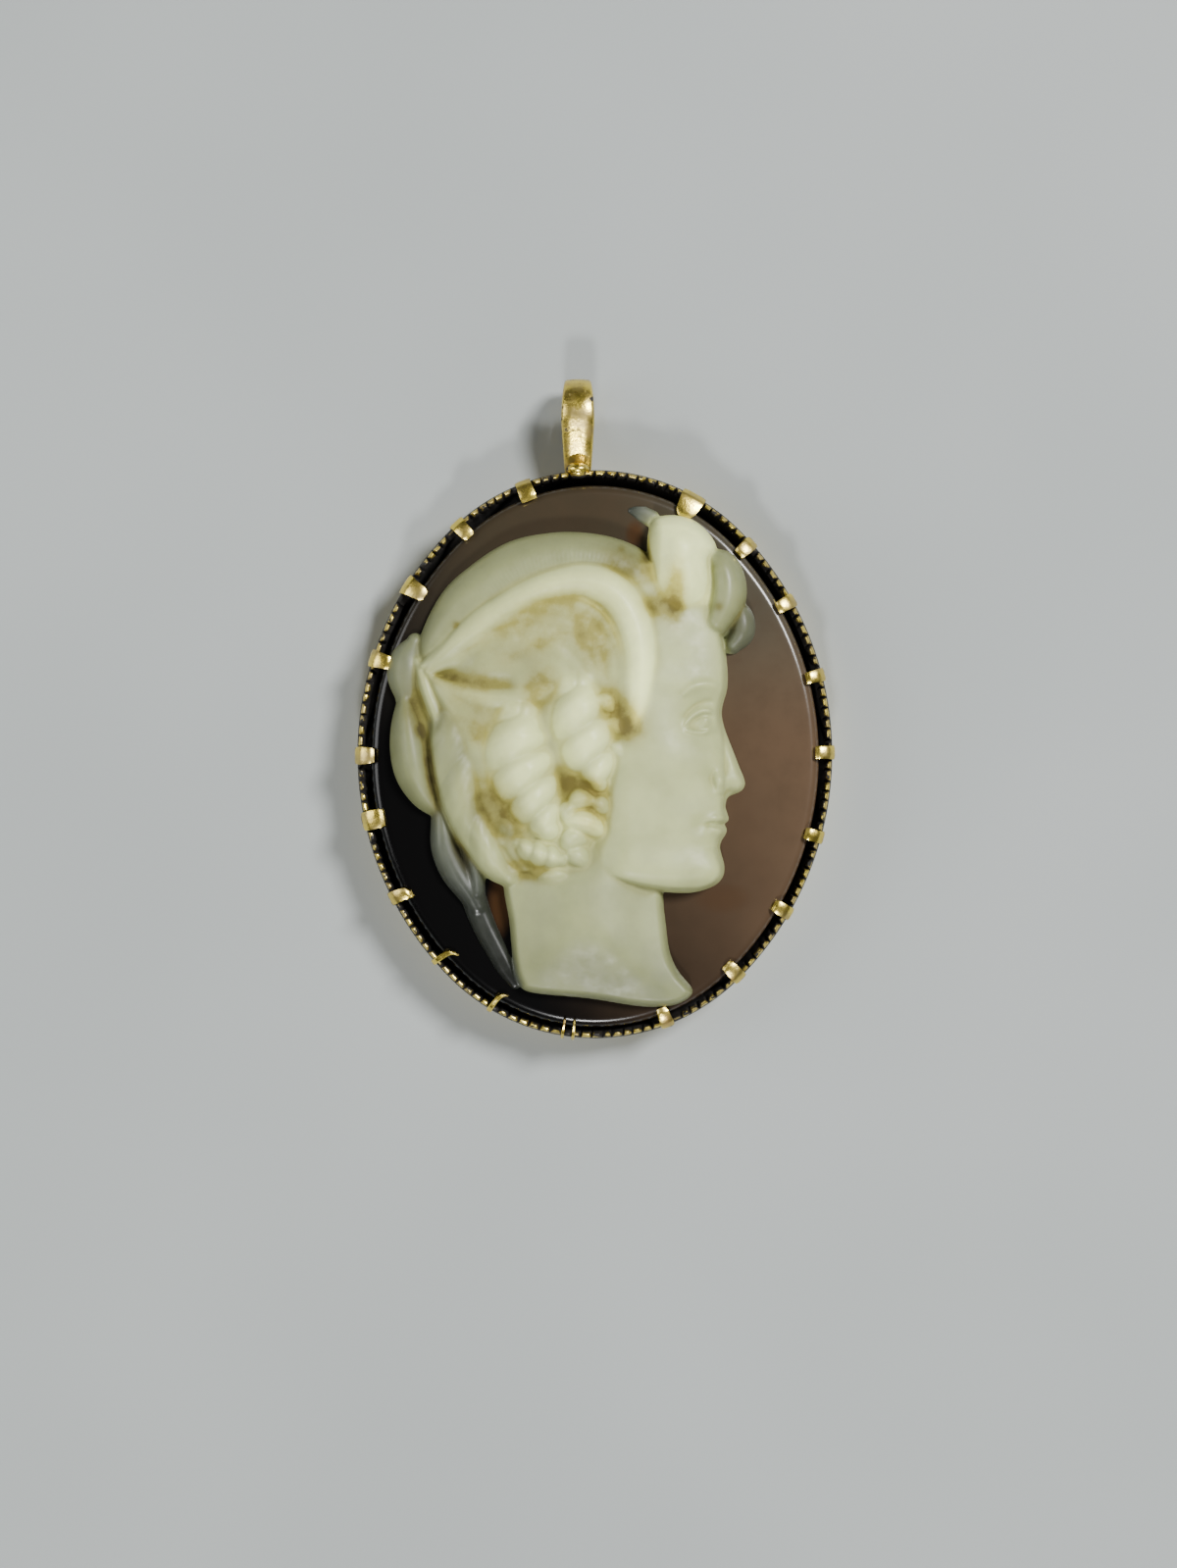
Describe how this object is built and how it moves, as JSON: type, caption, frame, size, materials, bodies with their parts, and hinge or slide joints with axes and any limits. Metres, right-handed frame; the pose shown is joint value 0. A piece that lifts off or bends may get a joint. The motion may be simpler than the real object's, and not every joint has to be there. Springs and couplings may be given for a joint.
{
  "type": "cameo pendant",
  "caption": "Oval cameo pendant: a carved profile head on a brown ground, held by claws in a saw-edged gold collet with a strap bail.",
  "frame": {"origin": "centre of the bounding box, on the plane that the collet's back rests on", "axes": "+Z out of the carved front, +Y up towards the bail, +X to the right as the carving is seen"},
  "size_m": [0.0212, 0.0292, 0.0061],
  "materials": {
    "setting": "worn low-carat gold, polished on the bail and dark in the recesses",
    "ground_layer": "polished brown layer, nearly black towards the lower left",
    "relief": "softly polished cream layer, bluish where it is thin, with brown stains"
  },
  "bodies": {
    "root": {"setting": "setting", "ground_layer": "ground_layer", "relief": "relief"}
  },
  "joints": []
}
